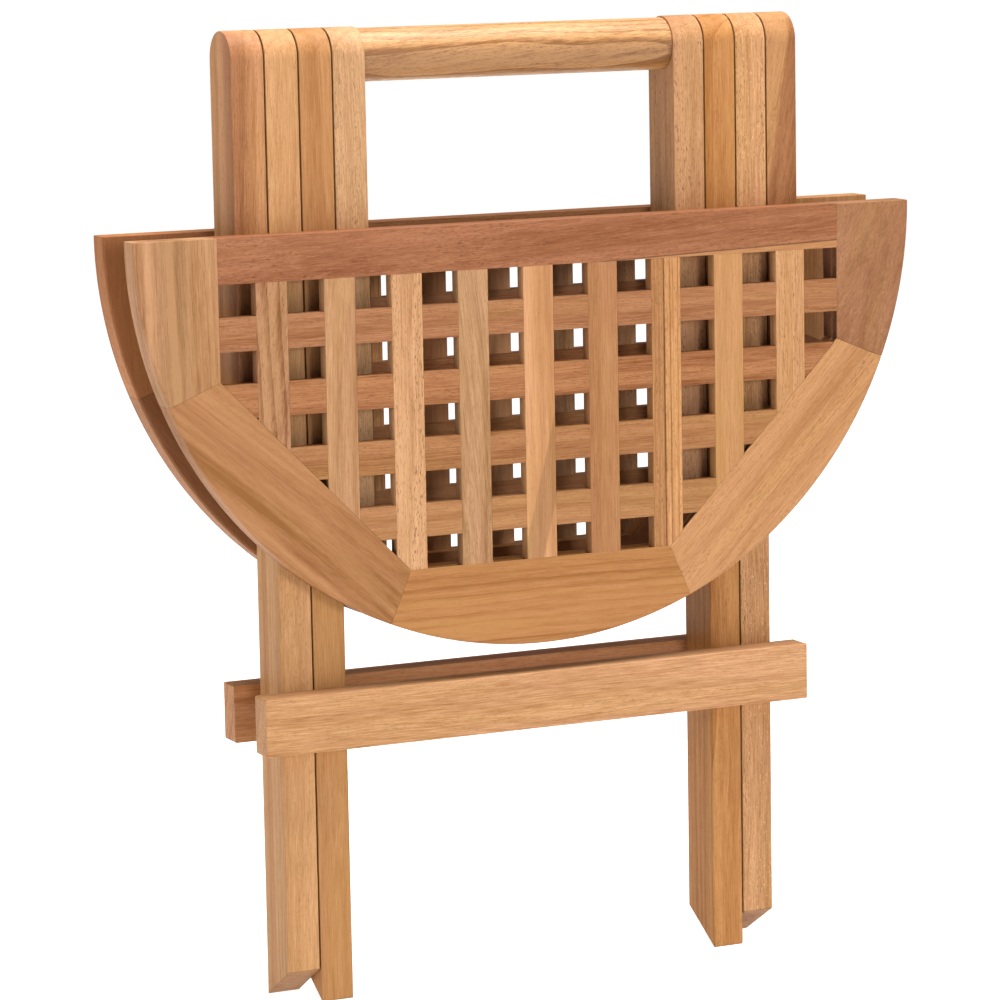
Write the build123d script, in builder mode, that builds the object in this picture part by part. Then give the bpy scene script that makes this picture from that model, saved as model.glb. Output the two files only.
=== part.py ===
import os
from math import atan2, cos, degrees, radians, sin, tan

from build123d import *

# Round folding picnic table in teak, drawn folded and standing on its feet.
# Millimetres, +Z up, front towards -Y, origin on the floor under the middle.

# Overall sizes
top_diameter = 500
leaf_thickness = 17
pivot_height = 552.5
pivot_to_seam = 98.5
leg_splay = 31

# Boards: the legs, and the battens that carry the two leaves
board_width = 19.9
board_depth = 33
board_gap = 1.0
board_easing = 0.5
batten_tail = 8

# Rim and lattice of one half-round leaf
rail_height = 26.3
block_width = 50
block_height = 81.6
rim_half_chord = 84.75
rim_depth = 51
rim_easing = 2
lattice_thickness = 8
slat_count = 9
slat_width = 19.2
cross_count = 4
cross_width = 19.6
tongue_length = 6
tongue_thickness = 2.5

# Handle and stretchers
handle_length = 199
handle_diameter = 31
handle_tenon_diameter = 14
handle_tenon_length = 8
stretcher_overhang = 16.5
stretcher_height = 34
stretcher_thickness = 17
stretcher_easing = 1
stretcher_drop = 17

# Hidden hardware
pin_diameter = 8
bore_floor = 2.3
leg_bore_floor = 4.8
running_clearance = 0.05
end_clearance = 0.5
washer_diameter = 18
washer_play = 0.2
dowel_diameter = 8
dowel_length = 24
dowel_in_stretcher = 11
dowel_spacing = 16
rim_dowel_diameter = 6
rim_dowel_length = 30
hole_spacing = 1.2
screw_diameter = 4
screw_head_diameter = 8
screw_head_height = 3
screw_bite = 11
screw_setback = 8

# Worked-out places
top_radius = top_diameter / 2
half_depth = board_depth / 2
board_pitch = board_width + board_gap
pin_grip = board_width - handle_tenon_length - bore_floor
pin_reach = board_width - leg_bore_floor - end_clearance
inner_batten_x = handle_length / 2 + board_width / 2
inner_leg_x = inner_batten_x + board_pitch
outer_leg_x = inner_leg_x + board_pitch
outer_batten_x = outer_leg_x + board_pitch
seam_height = pivot_height - pivot_to_seam
pivot_to_cross = pivot_to_seam / sin(radians(leg_splay))
cross_height = pivot_height - pivot_to_cross
foot_rise = half_depth * tan(radians(leg_splay))
outer_face = half_depth + leaf_thickness
opening_half_width = top_radius - block_width
opening_depth = top_radius - rim_depth
stretcher_bottom = seam_height - top_radius - stretcher_drop - stretcher_height
stretcher_middle = stretcher_bottom + stretcher_height / 2
stretcher_length = 2 * (outer_leg_x + board_width / 2 + stretcher_overhang)
sides = {"left": -1, "right": 1}

# The leaf plane lies on the table-top face: x across, y down from the seam, z towards the boards
leaf_planes = {
    "front": Plane(origin=(0, -outer_face, seam_height), x_dir=(1, 0, 0), z_dir=(0, 1, 0)),
    "rear": Plane(origin=(0, outer_face, seam_height), x_dir=(-1, 0, 0), z_dir=(0, -1, 0)),
}
leaf_hand = {"front": 1, "rear": -1}

# Corners of the lattice opening, from the right end of the seam round to the left end
rim_corners = [
    (opening_half_width, 0),
    (opening_half_width, block_height),
    (rim_half_chord, opening_depth),
    (-rim_half_chord, opening_depth),
    (-opening_half_width, block_height),
    (-opening_half_width, 0),
]
rim_angles = [degrees(atan2(y, x)) for x, y in rim_corners]
opening_corners = [
    (opening_half_width, rail_height),
    *rim_corners[1:5],
    (-opening_half_width, rail_height),
]
hole_width = (2 * opening_half_width - slat_count * slat_width) / (slat_count + 1)
hole_height = (opening_depth - rail_height - cross_count * cross_width) / (cross_count + 1)
slat_places = [
    -opening_half_width + hole_width + slat_width / 2 + i * (hole_width + slat_width)
    for i in range(slat_count)
]
cross_places = [
    rail_height + hole_height + cross_width / 2 + i * (hole_height + cross_width)
    for i in range(cross_count)
]

os.makedirs("parts", exist_ok=True)


def save(name, piece):
    piece.part.label = name
    export_step(piece.part, f"parts/{name}.step")


def on_rim(angle):
    return (top_radius * cos(radians(angle)), top_radius * sin(radians(angle)))


def across(x, y, z):
    # A plane facing +X with its own x along +Y and y along +Z
    return Plane(origin=(x, y, z), x_dir=(0, 1, 0), z_dir=(1, 0, 0))


def board_outline(bottom_front, bottom_rear):
    # Side view of a board: straight edges, a full-round top about the pivot and a cut lower end
    with BuildLine() as outline:
        Polyline(
            (-half_depth, pivot_height),
            (-half_depth, bottom_front),
            (half_depth, bottom_rear),
            (half_depth, pivot_height),
        )
        ThreePointArc(
            (half_depth, pivot_height),
            (0, pivot_height + half_depth),
            (-half_depth, pivot_height),
        )
    make_face(outline.line)


def bore_x(start, end, height, diameter):
    # Cut a round hole along X between two places, at mid-depth of the boards
    with BuildSketch(across(min(start, end), 0, height)) as bore:
        Circle(diameter / 2)
    extrude(bore.sketch, amount=abs(end - start), mode=Mode.SUBTRACT)


def rim_screw_depth(batten_x):
    # Depth below the seam of the screw that goes into the diagonal rim piece, clear of its groove
    diagonal_slope = (opening_depth - block_height) / (opening_half_width - rim_half_chord)
    diagonal_edge = block_height + (opening_half_width - batten_x) * diagonal_slope
    return diagonal_edge + tongue_length + screw_setback


def batten_end(batten_x):
    return seam_height - rim_screw_depth(batten_x) - batten_tail


def screw_places(leaf):
    # Places of the leaf screws in the leaf plane: into the rail and into the diagonal rim piece
    batten_x = inner_batten_x if leaf == "front" else outer_batten_x
    depths = (rail_height / 2, rim_screw_depth(batten_x))
    return [(side * batten_x, y) for side in sides.values() for y in depths]


def screw_solid(leaf):
    # Countersunk screws with their heads in the free faces of the battens
    head_z = leaf_thickness + board_depth
    plane = leaf_planes[leaf].offset(head_z)
    with Locations(*[plane.location * Location((x, y, 0)) for x, y in screw_places(leaf)]):
        Cone(
            screw_diameter / 2,
            screw_head_diameter / 2,
            screw_head_height,
            align=(Align.CENTER, Align.CENTER, Align.MAX),
        )
        Cylinder(
            screw_diameter / 2,
            board_depth + screw_bite,
            align=(Align.CENTER, Align.CENTER, Align.MAX),
        )


def joint_planes(leaf):
    # One plane per rim joint, facing along its dowel
    middle = leaf_thickness / 2
    planes = []
    for corner, angle in zip(rim_corners[1:5], rim_angles[1:5]):
        reach = (top_radius + (corner[0] ** 2 + corner[1] ** 2) ** 0.5) / 2
        place = (reach * cos(radians(angle)), reach * sin(radians(angle)), middle)
        planes.append((place, (-sin(radians(angle)), cos(radians(angle)), 0)))
    rail_dowel_depth = rail_height / 2 - (screw_diameter + rim_dowel_diameter) / 2 - hole_spacing
    for side in sides.values():
        planes.append(((side * opening_half_width, rail_dowel_depth, middle), (1, 0, 0)))
    leaf_plane = leaf_planes[leaf]
    return [
        Plane(
            origin=leaf_plane.from_local_coords(place),
            z_dir=leaf_plane.from_local_coords(along) - leaf_plane.origin,
        )
        for place, along in planes
    ]


with BuildPart() as screws_front:
    screw_solid("front")
with BuildPart() as screws_rear:
    screw_solid("rear")
leaf_screws = {"front": screws_front, "rear": screws_rear}
for leaf, screws in leaf_screws.items():
    save(f"{leaf}_leaf_screws", screws)

rim_dowels = {}
for leaf in leaf_planes:
    with BuildPart() as dowels:
        for plane in joint_planes(leaf):
            with BuildSketch(plane):
                Circle(rim_dowel_diameter / 2)
            extrude(amount=rim_dowel_length / 2, both=True)
    rim_dowels[leaf] = dowels
    save(f"{leaf}_leaf_dowels", dowels)


def leaf_groove(plane):
    # The groove round the opening that takes the tongues of the slats
    with BuildSketch(plane.offset(lattice_thickness / 2 - tongue_thickness)) as groove:
        Polygon(*opening_corners, align=None)
        offset(amount=tongue_length, kind=Kind.INTERSECTION)
    extrude(groove.sketch, amount=2 * tongue_thickness, mode=Mode.SUBTRACT)


def lattice_bar(plane, centre, size, tongue_start, notch_start, notch_centres, notch_size):
    # One slat trimmed to the opening, with tongues in the groove and half-lap notches
    with BuildSketch(plane) as bar:
        Polygon(*opening_corners, align=None)
        with Locations(centre):
            Rectangle(*size, mode=Mode.INTERSECT)
    extrude(bar.sketch, amount=lattice_thickness)
    with BuildSketch(plane.offset(notch_start)) as notches:
        with Locations(*notch_centres):
            Rectangle(*notch_size)
    extrude(notches.sketch, amount=lattice_thickness / 2, mode=Mode.SUBTRACT)
    with BuildSketch(plane.offset(tongue_start)) as tongues:
        Polygon(*opening_corners, align=None)
        offset(amount=tongue_length, kind=Kind.INTERSECTION)
        with Locations(centre):
            Rectangle(*size, mode=Mode.INTERSECT)
        Polygon(*opening_corners, align=None, mode=Mode.SUBTRACT)
    extrude(tongues.sketch, amount=tongue_thickness)


segment_names = ["right_block", "right_diagonal", "outer_rim", "left_diagonal", "left_block"]
mirrored_names = [
    name.replace("right", "other").replace("left", "right").replace("other", "left")
    for name in segment_names
]
names_by_leaf = {"front": segment_names, "rear": mirrored_names}

for leaf, plane in leaf_planes.items():
    with BuildPart() as rail:
        with BuildSketch(plane):
            with Locations((0, rail_height / 2)):
                Rectangle(2 * opening_half_width, rail_height)
        extrude(amount=leaf_thickness)
        leaf_groove(plane)
        add(leaf_screws[leaf].part, mode=Mode.SUBTRACT)
        add(rim_dowels[leaf].part, mode=Mode.SUBTRACT)
    save(f"{leaf}_leaf_rail", rail)

    for i, name in enumerate(names_by_leaf[leaf]):
        middle_angle = (rim_angles[i] + rim_angles[i + 1]) / 2
        with BuildPart() as segment:
            with BuildSketch(plane):
                with BuildLine():
                    Line(rim_corners[i], on_rim(rim_angles[i]))
                    ThreePointArc(
                        on_rim(rim_angles[i]),
                        on_rim(middle_angle),
                        on_rim(rim_angles[i + 1]),
                    )
                    Polyline(on_rim(rim_angles[i + 1]), rim_corners[i + 1], rim_corners[i])
                make_face()
            extrude(amount=leaf_thickness)
            fillet(segment.edges().filter_by(GeomType.CIRCLE), rim_easing)
            leaf_groove(plane)
            add(leaf_screws[leaf].part, mode=Mode.SUBTRACT)
            add(rim_dowels[leaf].part, mode=Mode.SUBTRACT)
        save(f"{leaf}_leaf_{name}", segment)

    for i, x in enumerate(slat_places):
        with BuildPart() as slat:
            lattice_bar(
                plane,
                (x, opening_depth / 2),
                (slat_width, top_diameter),
                lattice_thickness / 2 - tongue_thickness,
                lattice_thickness / 2,
                [(x, y) for y in cross_places],
                (slat_width, cross_width),
            )
        number = i + 1 if leaf == "front" else slat_count - i
        save(f"{leaf}_leaf_slat_{number}", slat)

    for i, y in enumerate(cross_places):
        with BuildPart() as cross_slat:
            lattice_bar(
                plane,
                (0, y),
                (top_diameter, cross_width),
                lattice_thickness / 2,
                0,
                [(x, y) for x in slat_places],
                (slat_width, cross_width),
            )
        save(f"{leaf}_leaf_cross_slat_{i + 1}", cross_slat)

with BuildPart() as handle:
    with BuildSketch(across(-handle_length / 2, 0, pivot_height)):
        Circle(handle_diameter / 2)
    extrude(amount=handle_length)
    tenon_span = handle_length + 2 * handle_tenon_length
    with BuildSketch(across(-tenon_span / 2, 0, pivot_height)):
        Circle(handle_tenon_diameter / 2)
    extrude(amount=tenon_span)
save("handle", handle)

# Pins: from a place gripped in one board, across the gap, to a running bore in its neighbour
inner_gap_x = inner_leg_x - board_width / 2
middle_gap_x = inner_leg_x + board_width / 2
outer_gap_x = outer_batten_x - board_width / 2
pin_spans = {
    "front_leaf_hinge_pins": (inner_gap_x - board_gap - pin_grip, inner_gap_x + pin_reach, pivot_height),
    "rear_leaf_hinge_pins": (outer_gap_x + pin_grip, outer_gap_x - board_gap - pin_reach, pivot_height),
    "leg_cross_pins": (middle_gap_x + board_gap + pin_grip, middle_gap_x - pin_reach, cross_height),
}
for name, (grip_end, free_end, height) in pin_spans.items():
    with BuildPart() as pins:
        for side in sides.values():
            with BuildSketch(across(min(side * grip_end, side * free_end), 0, height)):
                Circle(pin_diameter / 2)
            extrude(amount=abs(free_end - grip_end))
    save(name, pins)


def grip_bore(pin_name, side):
    grip_end, free_end, height = pin_spans[pin_name]
    bore_x(side * grip_end, side * free_end, height, pin_diameter)


def running_bore(pin_name, side):
    grip_end, free_end, height = pin_spans[pin_name]
    deeper = end_clearance if free_end > grip_end else -end_clearance
    bore_x(side * grip_end, side * (free_end + deeper), height, pin_diameter + 2 * running_clearance)


# Washers round the pins, each seated on the face of a leg
leg_half = board_width / 2
washer_seats = {
    "inner_leg_washers": [(inner_leg_x - leg_half, -1, pivot_height)],
    "outer_leg_washers": [
        (outer_leg_x + leg_half, 1, pivot_height),
        (outer_leg_x - leg_half, -1, cross_height),
    ],
}
for name, seats in washer_seats.items():
    with BuildPart() as washers:
        for seat_x, outward, height in seats:
            for side in sides.values():
                with BuildSketch(across(side * seat_x, 0, height)):
                    Circle(washer_diameter / 2)
                    Circle(pin_diameter / 2 + running_clearance, mode=Mode.SUBTRACT)
                extrude(amount=side * outward * (board_gap - washer_play))
    save(name, washers)

# Dowels that hold each stretcher to its pair of legs
stretcher_legs = {"front": inner_leg_x, "rear": outer_leg_x}
stretcher_dowels = {}
for frame, leg_x in stretcher_legs.items():
    into_leg = leaf_hand[frame]
    start = -into_leg * (half_depth + dowel_in_stretcher)
    plane = Plane(origin=(0, start, stretcher_middle), x_dir=(1, 0, 0), z_dir=(0, into_leg, 0))
    with BuildPart() as dowels:
        with BuildSketch(plane):
            for side in sides.values():
                with Locations((side * leg_x, 0)):
                    with GridLocations(0, dowel_spacing, 1, 2):
                        Circle(dowel_diameter / 2)
        extrude(amount=dowel_length)
    stretcher_dowels[frame] = dowels
    save(f"{frame}_stretcher_dowels", dowels)

    middle_y = -into_leg * (half_depth + stretcher_thickness / 2)
    with BuildPart() as stretcher:
        with BuildSketch(Plane.XY.offset(stretcher_bottom)):
            with Locations((0, middle_y)):
                Rectangle(stretcher_length, stretcher_thickness)
        extrude(amount=stretcher_height)
        outer_edges = stretcher.faces().sort_by(Axis.Y)[0 if into_leg > 0 else -1].edges()
        end_edges = stretcher.edges().filter_by(Axis.Y)
        fillet(outer_edges + end_edges, stretcher_easing)
        add(dowels.part, mode=Mode.SUBTRACT)
    save(f"{frame}_stretcher", stretcher)

for side_name, side in sides.items():
    with BuildPart() as inner_batten:
        inner_end = batten_end(inner_batten_x)
        with BuildSketch(across(side * inner_batten_x, 0, 0)):
            board_outline(inner_end, inner_end)
        extrude(amount=board_width / 2, both=True)
        fillet(inner_batten.faces().filter_by(Axis.X).edges(), board_easing)
        bore_x(0, side * tenon_span / 2, pivot_height, handle_tenon_diameter)
        grip_bore("front_leaf_hinge_pins", side)
        add(leaf_screws["front"].part, mode=Mode.SUBTRACT)
    save(f"{side_name}_inner_batten", inner_batten)

    with BuildPart() as outer_batten:
        outer_end = batten_end(outer_batten_x)
        with BuildSketch(across(side * outer_batten_x, 0, 0)):
            board_outline(outer_end, outer_end)
        extrude(amount=board_width / 2, both=True)
        fillet(outer_batten.faces().filter_by(Axis.X).edges(), board_easing)
        grip_bore("rear_leaf_hinge_pins", side)
        add(leaf_screws["rear"].part, mode=Mode.SUBTRACT)
    save(f"{side_name}_outer_batten", outer_batten)

    with BuildPart() as inner_leg:
        with BuildSketch(across(side * inner_leg_x, 0, 0)):
            board_outline(0, 2 * foot_rise)
        extrude(amount=board_width / 2, both=True)
        fillet(inner_leg.faces().filter_by(Axis.X).edges(), board_easing)
        running_bore("front_leaf_hinge_pins", side)
        running_bore("leg_cross_pins", side)
        add(stretcher_dowels["front"].part, mode=Mode.SUBTRACT)
    save(f"{side_name}_inner_leg", inner_leg)

    with BuildPart() as outer_leg:
        with BuildSketch(across(side * outer_leg_x, 0, 0)):
            board_outline(2 * foot_rise, 0)
        extrude(amount=board_width / 2, both=True)
        fillet(outer_leg.faces().filter_by(Axis.X).edges(), board_easing)
        running_bore("rear_leaf_hinge_pins", side)
        grip_bore("leg_cross_pins", side)
        add(stretcher_dowels["rear"].part, mode=Mode.SUBTRACT)
    save(f"{side_name}_outer_leg", outer_leg)
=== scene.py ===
import math

import bpy
from mathutils import Euler, Matrix, Vector


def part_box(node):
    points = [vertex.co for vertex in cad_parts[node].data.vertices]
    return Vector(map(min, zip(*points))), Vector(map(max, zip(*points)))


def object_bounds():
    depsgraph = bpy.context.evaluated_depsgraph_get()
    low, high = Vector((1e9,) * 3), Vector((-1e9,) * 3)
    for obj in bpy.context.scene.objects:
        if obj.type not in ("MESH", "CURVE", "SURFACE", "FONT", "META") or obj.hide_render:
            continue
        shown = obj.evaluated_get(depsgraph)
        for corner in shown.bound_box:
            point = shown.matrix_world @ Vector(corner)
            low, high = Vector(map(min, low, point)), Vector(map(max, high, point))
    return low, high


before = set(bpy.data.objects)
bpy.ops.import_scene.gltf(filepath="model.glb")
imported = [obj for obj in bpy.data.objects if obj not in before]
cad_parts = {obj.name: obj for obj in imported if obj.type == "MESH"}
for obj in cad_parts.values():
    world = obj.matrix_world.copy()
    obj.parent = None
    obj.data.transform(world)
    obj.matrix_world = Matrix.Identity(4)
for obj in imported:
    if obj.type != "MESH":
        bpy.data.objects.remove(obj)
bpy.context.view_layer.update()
bpy.ops.object.select_all(action="DESELECT")
print("frame loaded:", len(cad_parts), "nodes")


# a socket that takes part in sums, so shader maths reads as plain expressions
class Wire:
    def __init__(self, bench, socket):
        self.bench = bench
        self.socket = socket

    def maths(self, operation, *others):
        sockets = {i: value for i, value in enumerate((self, *others))}
        return self.bench.add("ShaderNodeMath", {"operation": operation}, sockets)

    def flipped(self, operation, other):
        return self.bench.add("ShaderNodeMath", {"operation": operation}, {0: other, 1: self})

    def __add__(self, other):
        return self.maths("ADD", other)

    def __sub__(self, other):
        return self.maths("SUBTRACT", other)

    def __mul__(self, other):
        return self.maths("MULTIPLY", other)

    def __truediv__(self, other):
        return self.maths("DIVIDE", other)

    def __pow__(self, other):
        return self.maths("POWER", other)

    def __gt__(self, other):
        return self.maths("GREATER_THAN", other)

    def __lt__(self, other):
        return self.maths("LESS_THAN", other)

    def __radd__(self, other):
        return self.flipped("ADD", other)

    def __rsub__(self, other):
        return self.flipped("SUBTRACT", other)

    def __rmul__(self, other):
        return self.flipped("MULTIPLY", other)

    def step(self, low, high):  # 0 at low, 1 at high, soft between
        settings = {"interpolation_type": "SMOOTHSTEP"}
        sockets = {"Value": self, "From Min": low, "From Max": high}
        return self.bench.add("ShaderNodeMapRange", settings, sockets)

    def axis(self, letter):  # one coordinate of a place
        return self.bench.add("ShaderNodeSeparateXYZ", {}, {"Vector": self}, letter)


# the node tree of one finish
class Bench:
    def __init__(self, name):
        self.finish = bpy.data.materials.new(name)
        self.finish.use_nodes = True
        self.tree = self.finish.node_tree
        self.tree.nodes.clear()

    def add(self, kind, settings, sockets, output=0):
        node = self.tree.nodes.new(kind)
        for name, value in settings.items():
            setattr(node, name, value)
        for key, value in sockets.items():
            if isinstance(value, Wire):
                self.tree.links.new(value.socket, node.inputs[key])
            else:
                node.inputs[key].default_value = value
        return Wire(self, node.outputs[output]) if node.outputs else None

    def blend(self, factor, first, second, way="MIX"):  # Mix takes colours at 6 and 7, gives one at 2
        settings = {"data_type": "RGBA", "blend_type": way, "clamp_factor": True}
        return self.add("ShaderNodeMix", settings, {"Factor": factor, 6: first, 7: second}, 2)

    def coordinates(self):
        return self.add("ShaderNodeTexCoord", {}, {}, "Object")

    def noise(self, place, waves, detail=2.0, rough=0.5):  # waves in a metre along x, and across it
        along, across = waves
        scale = (along, across, across)
        scaled = self.add("ShaderNodeVectorMath", {"operation": "MULTIPLY"}, {0: place, 1: scale})
        sockets = {"Vector": scaled, "Scale": 1.0, "Detail": detail, "Roughness": rough}
        return self.add("ShaderNodeTexNoise", {}, sockets)

    def surface(self, sockets):
        shader = self.add("ShaderNodeBsdfPrincipled", {}, sockets)
        self.add("ShaderNodeOutputMaterial", {}, {"Surface": shader})
        return self.finish


def tone(red, green, blue):  # a colour as seen on a screen, 0 to 255, to linear light
    def linear(level):
        level = max(0.0, min(level, 255.0)) / 255
        return level / 12.92 if level <= 0.04045 else ((level + 0.055) / 1.055) ** 2.4
    return (linear(red), linear(green), linear(blue), 1.0)


# what every board of teak has in common; each piece's own dictionary changes some of it, and adds
# its middle colour on a screen and its contrast, how far pale and dark wood lie from that colour
teak = {
    "grain": 90,               # degrees in the front view: 0 runs across, 90 upright
    "lean": 0.0,               # degrees the grain leans from the board's length
    "heart": (0.07, 0.03),     # metres from the board's middle to the heart of the tree
    "ringGap": 0.0052,         # metres between growth rings
    "rings": 0.30,             # strength of growth lines
    "streaks": 0.50,           # strength of broad colour streaks
    "fibre": 0.90,             # strength of fine fibre
    "pores": 0.35,             # strength of dark pores
    "gold": 0.45,              # strength of golden patches
    "sway": 0.016,             # metres the grain sways from its line
    "flecks": 0.0,             # strength of pale flecks
    "fleckGrid": (210, 1900),  # flecks in a metre along the grain, and across it
    "veins": (),               # bands of other colour that run along the board: veins, and painted shade
    "inside": None,            # depths in metres where painted shade on a leaf's inner faces starts and is full
    "inner": 0.25,             # strength of that painted shade
    "foot": None,              # way the sawn foot of a leg faces, for its painted shade: -1 forwards, 1 backwards
    "roughness": 0.55,
    "shine": 0.16,
}
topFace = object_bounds()[1].y  # both leaves lie with their top faces this far from the middle

# tones of a board: steps of its contrast, shifts and shares of its middle colour
tones = {
    "pale": 1.5, "dark": -1.8,
    "gold": (-2, 2, -8),
    "pore": 0.62,
    "fleck": 2.0, "fleckLift": 14,
    # inner: share of the middle colour left under painted shade on a leaf's inner faces
    "inner": (0.66, 0.60, 0.58),
}

# fields of the grain: noise waves in a metre along and across it, where each one shows, and its strength
fields = {
    "wander": {"waves": (3.0, 16.0)},
    "broad": {"waves": (2.2, 45.0), "shade": 2.6},
    "band": {"waves": (6.0, 240.0), "shade": 1.7},
    "fibre": {
        "waves": (48.0, 1500.0), "detail": 3.0, "rough": 0.7,
        "shade": 2.2, "relief": 0.5, "matt": 0.25,
    },
    "pores": {"waves": (330.0, 2300.0), "detail": 1.0, "shows": (0.55, 0.70), "least": 0.45, "matt": 0.2},
    "gold": {"waves": (5.0, 60.0), "shows": (0.42, 0.68)},
    "flecks": {"detail": 0.0, "shows": (0.70, 0.78)},
    "rings": {
        "lateWood": (0.35, 0.93), "ends": (0.93, 1.0), "earlyWood": (0.7, 0.1),
        "least": 0.25, "mean": 0.3,
    },
}
middleNoise = 0.5   # noise lies about this
middleShade = 0.48  # 0 is all pale wood, 1 all dark
sideLean = 0.5      # share of the lean that the narrow sides show
relief = {"Strength": 0.35, "Distance": 0.0002}

# each seed is cut from another place in the tree: metres, and how many places there are aside and up
cut = {"along": 0.731, "aside": 0.173, "asidePlaces": 7, "up": 0.219, "upPlaces": 5, "ring": 0.37}


def shifted(colour, amount):
    return tone(*[c + amount for c in colour])


def teakFinish(name, look, seed, middle):
    wood = {**teak, **look}
    bench = Bench("teak_" + name)
    contrast = wood["contrast"]
    pale = shifted(wood["colour"], tones["pale"] * contrast)
    dark = shifted(wood["colour"], tones["dark"] * contrast)
    goldMiddle = [c + shift for c, shift in zip(wood["colour"], tones["gold"])]
    paleGold = shifted(goldMiddle, tones["pale"] * contrast)
    darkGold = shifted(goldMiddle, tones["dark"] * contrast)
    poreColour = shifted([tones["pore"] * c for c in wood["colour"]], -contrast)
    fleckColour = shifted(wood["colour"], tones["fleck"] * contrast + tones["fleckLift"])
    innerShadeColour = tone(*[c * share for c, share in zip(wood["colour"], tones["inner"])])

    # turn the board about its own middle so that the grain lies along x, then find its place in the tree
    coordinates = bench.coordinates()
    turn = Euler((0.0, math.radians(wood["grain"]), 0.0))
    offset = -(turn.to_matrix() @ middle)
    sockets = {"Vector": coordinates, "Rotation": turn, "Location": offset}
    turned = bench.add("ShaderNodeMapping", {}, sockets)
    lean = (0.0, math.radians(wood["lean"]), math.radians(sideLean * wood["lean"]))
    aside = cut["aside"] * (seed % cut["asidePlaces"])
    up = cut["up"] * (seed % cut["upPlaces"])
    spot = Vector((cut["along"] * seed, aside, up))
    place = bench.add("ShaderNodeMapping", {}, {"Vector": turned, "Rotation": lean, "Location": spot})

    # growth rings about the heart of the tree, wandering slowly along the grain
    wander = bench.noise(place, fields["wander"]["waves"]) - middleNoise
    sway = bench.add("ShaderNodeCombineXYZ", {}, {"Y": wander * wood["sway"], "Z": wander * wood["sway"]})
    flow = bench.add("ShaderNodeVectorMath", {"operation": "ADD"}, {0: place, 1: sway})
    depth = flow.axis("Y") - (spot.y + wood["heart"][0])
    height = flow.axis("Z") - (spot.z + wood["heart"][1])
    ringPlace = (depth * depth + height * height) ** 0.5 / wood["ringGap"] + cut["ring"] * seed
    ring = ringPlace.maths("FRACT")
    sockets = {"W": ringPlace.maths("FLOOR")}
    year = bench.add("ShaderNodeTexWhiteNoise", {"noise_dimensions": "1D"}, sockets)
    rings = fields["rings"]
    yearWood = rings["least"] + (1 - rings["least"]) * year
    lateWood = (ring.step(*rings["lateWood"]) - ring.step(*rings["ends"])) * yearWood

    broad = bench.noise(flow, fields["broad"]["waves"]) - middleNoise
    band = bench.noise(flow, fields["band"]["waves"]) - middleNoise
    fine = fields["fibre"]
    fibre = bench.noise(flow, fine["waves"], fine["detail"], fine["rough"]) - middleNoise
    pore = fields["pores"]
    poreField = bench.noise(flow, pore["waves"], pore["detail"])
    openWood = pore["least"] + (1 - pore["least"]) * ring.step(*rings["earlyWood"])
    pores = poreField.step(*pore["shows"]) * openWood
    gold = bench.noise(flow, fields["gold"]["waves"]).step(*fields["gold"]["shows"])

    shade = middleShade + broad * (fields["broad"]["shade"] * wood["streaks"])
    shade = shade + band * (fields["band"]["shade"] * wood["streaks"])
    shade = shade + (lateWood - rings["mean"]) * wood["rings"] + fibre * (fine["shade"] * wood["fibre"])
    colour = bench.blend(shade, pale, dark)
    colour = bench.blend(gold * wood["gold"], colour, bench.blend(shade, paleGold, darkGold))
    colour = bench.blend(pores * wood["pores"], colour, poreColour)
    for vein in wood["veins"]:
        colour = veinAndShadeColour(bench, vein, turned, broad + band, colour)
    # painted shade: the lattice hole walls and the rim's face towards the other leaf are darkened by
    # depth under the top face
    if wood["inside"]:
        sunk = topFace - coordinates.axis("Y").maths("ABSOLUTE")
        colour = bench.blend(sunk.step(*wood["inside"]) * wood["inner"], colour, innerShadeColour)
    if wood["flecks"]:
        fleckField = bench.noise(flow, wood["fleckGrid"], fields["flecks"]["detail"])
        flecks = fleckField.step(*fields["flecks"]["shows"])
        colour = bench.blend(flecks * wood["flecks"], colour, fleckColour)
    if wood["foot"]:
        colour = footShadeColour(bench, wood["foot"], coordinates, colour, poreField)
    if "trim" in wood:
        colour = trimColour(bench, wood["trim"], coordinates, colour, fibre)

    return bench.surface({
        "Base Color": colour,
        "Roughness": wood["roughness"] + fibre * fine["matt"] + pores * pore["matt"],
        "Normal": bench.add("ShaderNodeBump", {}, {**relief, "Height": fibre * fine["relief"] - pores}),
        "Specular IOR Level": wood["shine"],
    })


# a band's "at", for veins and painted shade alike, is measured in metres from the board's middle: first
# to the back, then leftwards on upright boards and upwards on level ones; core and wave are shares of its
# reach
plainVeinAndShade = {"slope": 0.0, "core": 0.25, "wave": 0.9}


def veinAndShadeColour(bench, look, turned, streak, colour):
    vein = {**plainVeinAndShade, **look}
    aside = turned.axis("Y") - vein["at"][0]
    upward = turned.axis("Z") - vein["at"][1]
    if vein["slope"]:
        upward = upward - turned.axis("X") * vein["slope"]
    reach = vein["reach"]
    distance = (aside * aside + upward * upward) ** 0.5 + streak * (vein["wave"] * reach)
    amount = 1 - distance.step(vein["core"] * reach, reach)
    return bench.blend(amount, colour, (*vein["share"], 1.0), "MULTIPLY")


# painted shade on the slanted sawn foot of a leg, speckled by the pore field
legFootShade = {
    "splay": 31, "skin": 0.0004, "share": (0.66, 0.60, 0.56, 1.0),
    "wear": 0.7, "gritWear": 0.6, "grit": (0.35, 0.65),
}


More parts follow.
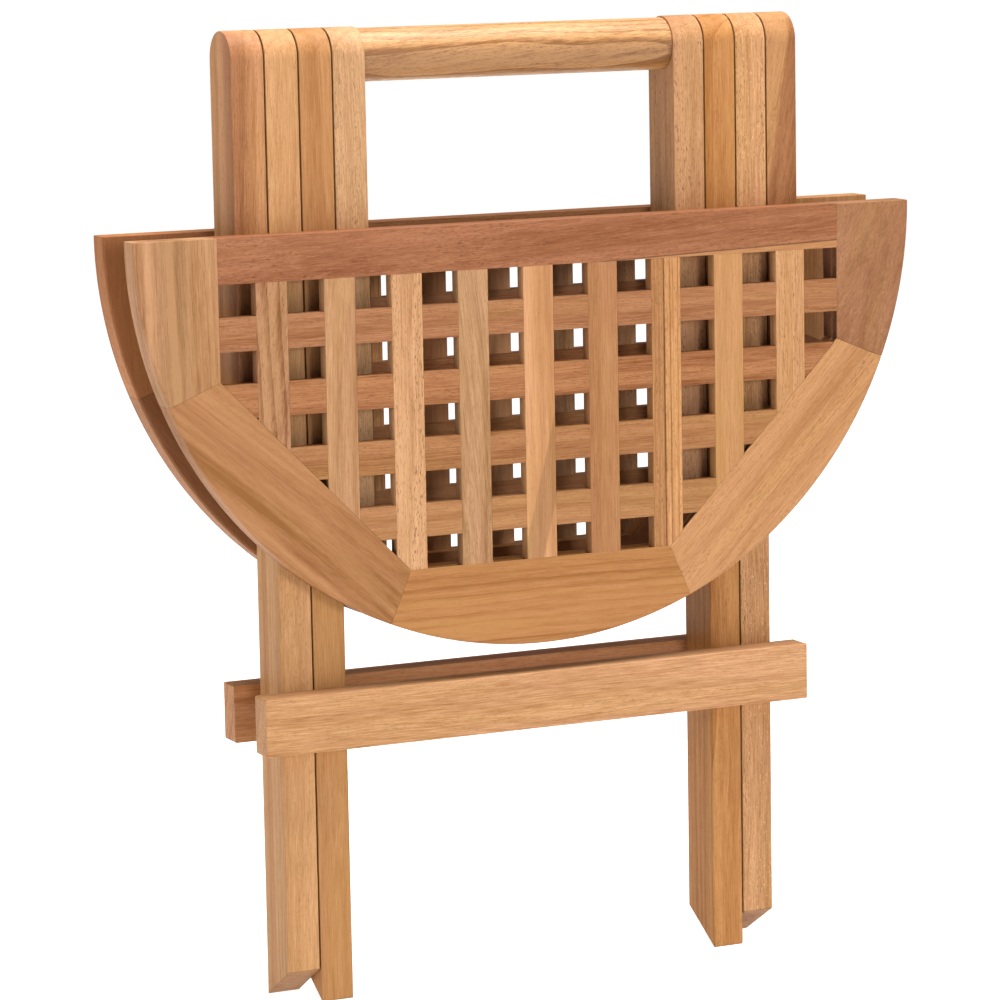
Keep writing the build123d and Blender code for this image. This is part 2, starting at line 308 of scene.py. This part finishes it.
def footShadeColour(bench, way, coordinates, colour, grit):
    splay = math.radians(legFootShade["splay"])
    facing = Vector((0.0, way * math.sin(splay), -math.cos(splay)))
    low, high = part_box("left_outer_leg")
    lowest = facing.y * (low.y if way > 0 else high.y)
    sockets = {0: coordinates, 1: facing}
    across = bench.add("ShaderNodeVectorMath", {"operation": "DOT_PRODUCT"}, sockets, "Value")
    sawn = across > lowest - legFootShade["skin"]
    # painted shade on the sawn face, strongest where the pore field is high
    shadedFoot = sawn * (legFootShade["wear"] + legFootShade["gritWear"] * grit.step(*legFootShade["grit"]))
    return bench.blend(shadedFoot, colour, legFootShade["share"], "MULTIPLY")


# a narrow tapered strip of pale wood closes the last of the gap under the front rail; here it is only
# painted on the rail's foot
def trimColour(bench, trim, coordinates, colour, fibre):
    across = coordinates.axis("X")
    height = coordinates.axis("Z")
    edge = (across - trim["start"]) * trim["taper"] + trim["foot"]
    strip = height < edge
    line = 1 - (height - edge).maths("ABSOLUTE").step(0.0, trim["line"])
    shade = trim["middleShade"] + fibre * trim["fibre"]
    stripColour = bench.blend(shade, tone(*trim["pale"]), tone(*trim["dark"]))
    colour = bench.blend(strip, colour, stripColour)
    lineShare = line * (across > trim["start"]) * trim["lineStrength"]
    return bench.blend(lineShare, colour, tone(*trim["lineColour"]))


# colours on a screen and contrasts, set beside the photograph piece by piece
frontRail = {
    "colour": (131, 80, 49), "contrast": 11, "grain": 0, "lean": 3, "heart": (0.10, 0.02),
    "flecks": 0.3, "pores": 0.5, "gold": 0.2, "rings": 0.5,
}
rearRail = {"colour": (146, 95, 57), "contrast": 10, "grain": 0, "heart": (-0.10, 0.04)}

frontRim = {
    "left_block": {
        "colour": (149, 104, 67), "contrast": 17, "lean": 1.5, "streaks": 0.9, "pores": 0.2, "fibre": 0.6,
        "veins": [{"at": (-0.0085, 0.002), "reach": 0.014, "share": (0.78, 0.77, 0.72)}],
    },
    "left_diagonal": {
        "colour": (144, 97, 58), "contrast": 10, "grain": -45, "lean": 5,
        "streaks": 0.9, "pores": 0.15, "fibre": 0.5,
    },
    "outer_rim": {
        "colour": (150, 100, 55), "contrast": 8, "grain": 0, "rings": 0.7, "heart": (0.02, -0.09),
        "pores": 0.15,
    },
    "right_diagonal": {"colour": (163, 115, 73), "contrast": 10, "grain": 45, "pores": 0.5},
    "right_block": {"colour": (136, 91, 60), "contrast": 11, "lean": -22, "streaks": 0.45, "fibre": 0.7},
}
# on the rear leaf, inner sets the strength of painted shade on its faces towards the front leaf
rearRim = {
    "left_block": {"colour": (155, 97, 53), "contrast": 11, "lean": 1, "inner": 0.62},
    "left_diagonal": {"colour": (140, 88, 50), "contrast": 11, "grain": -45, "lean": -3, "inner": 0.55},
    "outer_rim": {"colour": (155, 105, 59), "contrast": 9, "grain": 0, "rings": 0.5, "inner": 0.70},
    "right_diagonal": {"colour": (150, 99, 57), "contrast": 9, "grain": 45, "lean": 3, "inner": 0.70},
    "right_block": {"colour": (157, 109, 67), "contrast": 10, "lean": -1, "inner": 0.10},
}

# upright slats from left to right, as seen from the front
frontSlats = [
    {"colour": (139, 94, 61), "contrast": 14, "lean": -8, "rings": 0.9, "ringGap": 0.0034},
    {"colour": (161, 118, 81), "contrast": 12, "pores": 0.2},
    {"colour": (173, 127, 88), "contrast": 12, "pores": 0.85, "gold": 0.3},
    {"colour": (151, 110, 75), "contrast": 13, "lean": 4, "rings": 0.6, "ringGap": 0.0045},
    {
        "colour": (173, 124, 83), "contrast": 10, "streaks": 0.7, "pores": 0.2, "fibre": 0.7,
        "veins": [{
            "at": (-0.004, -0.0165), "slope": -0.26, "reach": 0.0075, "core": 0.8, "wave": 0.1,
            "share": (0.76, 0.76, 0.74),
        }],
    },
    {"colour": (149, 101, 64), "contrast": 9, "pores": 0.2},
    {
        "colour": (167, 116, 72), "contrast": 13, "rings": 0.5, "ringGap": 0.0030, "heart": (0.0, 0.08),
        "pores": 0.6, "seed": 91,
        "veins": [
            {"at": (-0.004, 0.0068), "reach": 0.0070, "core": 0.6, "share": (0.76, 0.72, 0.68)},
            {"at": (-0.004, 0.0015), "reach": 0.0008, "wave": 1.0, "share": (0.40, 0.32, 0.26)},
            {"at": (-0.004, -0.0025), "reach": 0.0006, "wave": 2.0, "share": (0.60, 0.52, 0.45)},
        ],
    },
    {"colour": (164, 118, 74), "contrast": 8, "pores": 0.2},
    {"colour": (170, 123, 81), "contrast": 14, "pores": 0.7},
]
crossSlats = [
    {"colour": (136, 87, 52), "contrast": 14, "grain": 0, "gold": 0.4},
    {"colour": (136, 85, 47), "contrast": 15, "grain": 0, "gold": 0.2, "pores": 0.5},
    {"colour": (137, 89, 50), "contrast": 13, "grain": 0},
    {"colour": (147, 100, 61), "contrast": 10, "grain": 0},
]

boards = {
    "left_outer_batten": {
        "colour": (163, 113, 74), "contrast": 12, "streaks": 0.8, "gold": 0.5, "heart": (0.02, 0.06),
        "veins": [
            {"at": (-0.0150, 0.0100), "reach": 0.0140, "share": (0.74, 0.66, 0.62)},
            {"at": (-0.0165, 0.0030), "reach": 0.0110, "share": (0.86, 0.80, 0.76)},
        ],
    },
    "left_outer_leg": {
        "colour": (173, 127, 83), "contrast": 10, "foot": -1,
        "veins": [{"at": (0.0060, 0.0100), "reach": 0.0060, "share": (0.84, 0.73, 0.63)}],
    },
    "left_inner_leg": {"colour": (158, 110, 66), "contrast": 9, "pores": 0.15, "foot": 1},
    "left_inner_batten": {"colour": (171, 129, 90), "contrast": 12, "pores": 0.7, "lean": 2, "gold": 0.3},
    "right_inner_batten": {"colour": (156, 110, 73), "contrast": 12, "pores": 0.8, "gold": 0.4},
    "right_inner_leg": {"colour": (159, 107, 58), "contrast": 11, "rings": 0.5, "foot": 1},
    "right_outer_leg": {
        "colour": (165, 118, 76), "contrast": 13, "pores": 0.7, "flecks": 0.5, "fleckGrid": (420, 950),
        "fibre": 1.1, "foot": -1,
    },
    "right_outer_batten": {
        "colour": (149, 102, 62), "contrast": 12, "streaks": 0.8, "lean": -9, "seed": 77,
        "veins": [{
            "at": (-0.0165, 0.0012), "slope": -0.157, "reach": 0.012, "core": 0.8, "wave": 0.15,
            "share": (0.74, 0.64, 0.60),
        }],
    },
}
rails = {
    "front_stretcher": {
        "colour": (168, 121, 81), "contrast": 13.5, "grain": 0,
        "pores": 0.3, "streaks": 0.3, "fibre": 1.1,
    },
    "rear_stretcher": {"colour": (163, 110, 72), "contrast": 11, "grain": 0, "rings": 0.6},
    "handle": {
        "colour": (160, 113, 63), "contrast": 18, "grain": 0, "lean": 5, "streaks": 0.6,
        "rings": 0.9, "ringGap": 0.0042, "sway": 0.02, "pores": 0.5, "fibre": 1.2,
        "shine": 0.45, "roughness": 0.48,
        # this band is painted shade: it darkens the handle's front and lower middle so that its top reads
        # paler
        "veins": [{"at": (-0.0155, -0.0050), "reach": 0.0140, "share": (0.70, 0.64, 0.58)}],
    },
}

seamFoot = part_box("front_leaf_rail")[0].z
frontRail["trim"] = {
    "start": 0.04, "taper": 0.029, "foot": seamFoot, "line": 0.0007,
    "pale": (170, 121, 78), "dark": (146, 98, 60), "middleShade": 0.5, "fibre": 2.0,
    "lineColour": (70, 42, 28), "lineStrength": 0.75,
}

looks = {"front_leaf_rail": frontRail, "rear_leaf_rail": rearRail, **boards, **rails}
for name, look in frontRim.items():
    looks["front_leaf_" + name] = look
for name, look in rearRim.items():
    looks["rear_leaf_" + name] = look
for i, look in enumerate(frontSlats):
    looks[f"front_leaf_slat_{i + 1}"] = look
    looks[f"rear_leaf_slat_{len(frontSlats) - i}"] = look
for i, look in enumerate(crossSlats):
    looks[f"front_leaf_cross_slat_{i + 1}"] = look
    looks[f"rear_leaf_cross_slat_{i + 1}"] = look

# metres under a leaf's top face where painted shade on its inner faces starts and is full
innerShadeDepth = {"lattice": (0.0004, 0.0045), "rim": (0.0150, 0.0166)}
for name, look in looks.items():
    if "slat" in name:
        look["inside"] = innerShadeDepth["lattice"]
    elif "leaf" in name:
        look["inside"] = innerShadeDepth["rim"]

# sanded edges of every board, in metres and degrees
easing = {
    "width": 0.0005, "lattice": 0.0002, "segments": 2, "angle": 35,
    "weld": 0.00001, "flat": 0.5, "weight": 100,
}


def easeEdges(piece):
    weld = piece.modifiers.new("weld", "WELD")
    weld.merge_threshold = easing["weld"]
    flats = piece.modifiers.new("flats", "DECIMATE")
    flats.decimate_type = "DISSOLVE"
    flats.angle_limit = math.radians(easing["flat"])
    bevel = piece.modifiers.new("sanded", "BEVEL")
    bevel.width = easing["lattice" if "slat" in piece.name else "width"]
    bevel.segments = easing["segments"]
    bevel.limit_method = "ANGLE"
    bevel.angle_limit = math.radians(easing["angle"])
    bevel.use_clamp_overlap = True
    facing = piece.modifiers.new("facing", "WEIGHTED_NORMAL")
    facing.weight = easing["weight"]


def giveFinish(piece, finish):
    piece.data.materials.clear()
    piece.data.materials.append(finish)


def middleOf(name):
    low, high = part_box(name)
    return (low + high) / 2


for number, (name, look) in enumerate(looks.items()):
    seed = look.get("seed", number)
    giveFinish(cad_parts[name], teakFinish(name, look, seed, middleOf(name)))
    easeEdges(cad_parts[name])
print("teak finished:", len(looks), "pieces")

# hidden hardware: plain dowels and turned steel
dowel = {"colour": (190, 155, 110), "contrast": 10, "grain": 0, "rings": 0.3, "seed": 70}
dowelFinish = teakFinish("dowel", dowel, dowel["seed"], middleOf("front_stretcher_dowels"))
pinSteel = {
    "dark": (0.42, 0.42, 0.43, 1.0), "bright": (0.6, 0.6, 0.61, 1.0),
    "turning": (2500.0, 60.0), "roughness": 0.28, "matt": 0.2,
}


def steelFinish():
    bench = Bench("pin_steel")
    turning = bench.noise(bench.coordinates(), pinSteel["turning"])
    return bench.surface({
        "Base Color": bench.blend(turning, pinSteel["dark"], pinSteel["bright"]),
        "Metallic": 1.0,
        "Roughness": pinSteel["roughness"] + turning * pinSteel["matt"],
    })


steel = steelFinish()
for name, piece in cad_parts.items():
    if name.endswith("dowels"):
        giveFinish(piece, dowelFinish)
    elif name not in looks:
        giveFinish(piece, steel)
print("hardware finished")

# pale floor, wide enough that the camera sees no edge; its own glow keeps the ground white
white = (1.0, 1.0, 1.0, 1.0)
groundLook = {
    "span": 120.0, "drop": 0.0002,
    "dark": (0.49, 0.49, 0.49, 1.0), "pale": (0.51, 0.51, 0.51, 1.0), "specks": (3.0, 3.0),
    "roughness": 0.9, "shine": 0.1, "glow": 0.89,
}
bpy.ops.mesh.primitive_plane_add(size=groundLook["span"], location=(0, 0, -groundLook["drop"]))
floor = bpy.context.object
floor.name = "studio_floor"
floorBench = Bench("floor_white")
speck = floorBench.noise(floorBench.coordinates(), groundLook["specks"])
giveFinish(floor, floorBench.surface({
    "Base Color": floorBench.blend(speck, groundLook["dark"], groundLook["pale"]),
    "Roughness": groundLook["roughness"],
    "Specular IOR Level": groundLook["shine"],
    "Emission Color": white,
    "Emission Strength": groundLook["glow"],
}))

studio = {
    "sky": 0.25,
    "aim": (0, 0, 0.3),
    "lamps": {
        "key": {"place": (0.45, -3.0, 0.9), "size": 0.6, "power": 37},
        "fill": {"place": (-3.0, -1.0, 0.9), "size": 1.2, "power": 32},
        "top": {"place": (0.1, -0.26, 2.3), "size": 1.2, "power": 92},
    },
}
world = bpy.data.worlds.new("studio")
world.use_nodes = True
sky = world.node_tree.nodes["Background"]
sky.inputs["Color"].default_value = white
sky.inputs["Strength"].default_value = studio["sky"]
bpy.context.scene.world = world
for name, lamp in studio["lamps"].items():
    bpy.ops.object.light_add(type="AREA", location=lamp["place"])
    light = bpy.context.object
    light.name = name
    light.data.size = lamp["size"]
    light.data.energy = lamp["power"]
    towards = Vector(studio["aim"]) - Vector(lamp["place"])
    light.rotation_euler = towards.to_track_quat("-Z", "Y").to_euler()
bpy.context.scene.view_settings.view_transform = "Standard"
print("studio lit")

# camera at the photograph's angle, found from the table's own corners
shot = {
    "around": -24.96, "above": 8.48, "roll": -1.04,
    "away": 2.5195, "aim": (-0.0115, 0.0, 0.2861),
    "lens": 152.6, "sensor": 36, "farthest": 300,
}
around = math.radians(shot["around"])
above = math.radians(shot["above"])
back = Vector((math.sin(around) * math.cos(above), -math.cos(around) * math.cos(above), math.sin(above)))
bpy.ops.object.camera_add(location=Vector(shot["aim"]) + back * shot["away"])
camera = bpy.context.object
camera.data.sensor_width = shot["sensor"]
camera.data.lens = shot["lens"]
camera.data.clip_end = shot["farthest"]
level = back.to_track_quat("Z", "Y").to_matrix()
camera.rotation_euler = (level @ Matrix.Rotation(math.radians(shot["roll"]), 3, "Z")).to_euler()
bpy.context.scene.camera = camera
print("camera placed")
